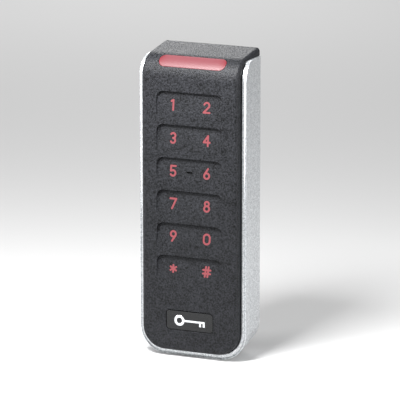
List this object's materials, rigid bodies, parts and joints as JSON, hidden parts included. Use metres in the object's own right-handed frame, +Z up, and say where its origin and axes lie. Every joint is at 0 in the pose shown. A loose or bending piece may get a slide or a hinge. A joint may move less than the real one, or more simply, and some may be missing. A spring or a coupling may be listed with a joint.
{
  "type": "rfid card reader",
  "caption": "Narrow wall reader for access cards with a touch keypad, a red light bar across the top and a silver frame, hung on a hooked steel wall plate.",
  "frame": {"origin": "centre of the two wall-screw holes, on the wall plane at the back of the plate", "axes": "+X right as seen from the front, front faces -Y, +Y into the wall, +Z up"},
  "size_m": [0.045, 0.0215, 0.1216],
  "materials": {
    "zinc_steel": "zinc-plated steel sheet, satin",
    "silver_paint": "fine silver metallic paint, satin",
    "black_moulding": "black moulded plastic with a fine spark texture",
    "red_lens": "translucent red lens, satin, lit from behind",
    "clear_guide": "clear acrylic light guide",
    "led_white": "small surface-mount lights",
    "green_board": "green circuit board, satin solder mask",
    "lit_legend": "red light showing through the legend",
    "gloss_black": "polished black badge",
    "chrome": "polished chrome",
    "black_housing": "black moulded plastic, satin",
    "seal_rubber": "soft grey silicone rubber",
    "coil_copper": "enamelled copper winding",
    "ferrite": "dark flexible ferrite sheet",
    "tin_can": "tinned steel shielding can",
    "chip_black": "black moulded component bodies",
    "sounder_black": "black sounder case",
    "terminal_green": "green nylon terminal block",
    "steel_screw": "zinc-plated steel",
    "clear_window": "clear polycarbonate",
    "stainless": "stainless steel, turned",
    "nylon_washer": "natural nylon"
  },
  "bodies": {
    "wall_plate": {"mounting_plate": "zinc_steel"},
    "reader": {"trim_frame": "silver_paint", "front_cover": "black_moulding", "light_bar_lens": "red_lens", "light_bar_guide": "clear_guide", "light_bar_leds": "led_white", "light_bar_board": "green_board", "key_legends": "lit_legend", "badge_plate": "gloss_black", "key_emblem": "chrome", "rear_housing": "black_housing", "housing_seal": "seal_rubber", "keypad_light_guide": "clear_guide", "keypad_board": "green_board", "keypad_leds": "led_white", "antenna_coil": "coil_copper", "ferrite_sheet": "ferrite", "main_board": "green_board", "radio_shield": "tin_can", "processor_chip": "chip_black", "surface_parts": "chip_black", "sounder": "sounder_black", "board_link_socket": "chip_black", "board_link_header": "chip_black", "terminal_block_upper": "terminal_green", "terminal_block_lower": "terminal_green", "terminal_screws": "steel_screw", "terminal_cages": "steel_screw", "tamper_sensor": "chip_black", "tamper_window": "clear_window", "case_screws": "steel_screw"},
    "lock_carrier": {"captive_washer": "nylon_washer"},
    "lock_screw": {"security_screw": "stainless"}
  },
  "joints": [
    {"name": "reader_tilt", "type": "hinge", "parent": "wall_plate", "child": "reader", "pos_m": [0, 0, 0.06075], "axis": [-1, 0, 0], "range_deg": [0, 15]},
    {"name": "lock_slide", "type": "slide", "parent": "reader", "child": "lock_carrier", "axis": [0, 0, 1], "range_m": [0, 0.002]},
    {"name": "lock_turn", "type": "hinge", "parent": "lock_carrier", "child": "lock_screw", "pos_m": [0, -0.0062, -0.057], "axis": [0, 0, 1], "range_deg": [0, 1440]}
  ],
  "couplings": [
    {"joint": "lock_turn", "follows": "lock_slide", "rad_per_m": 12566}
  ]
}
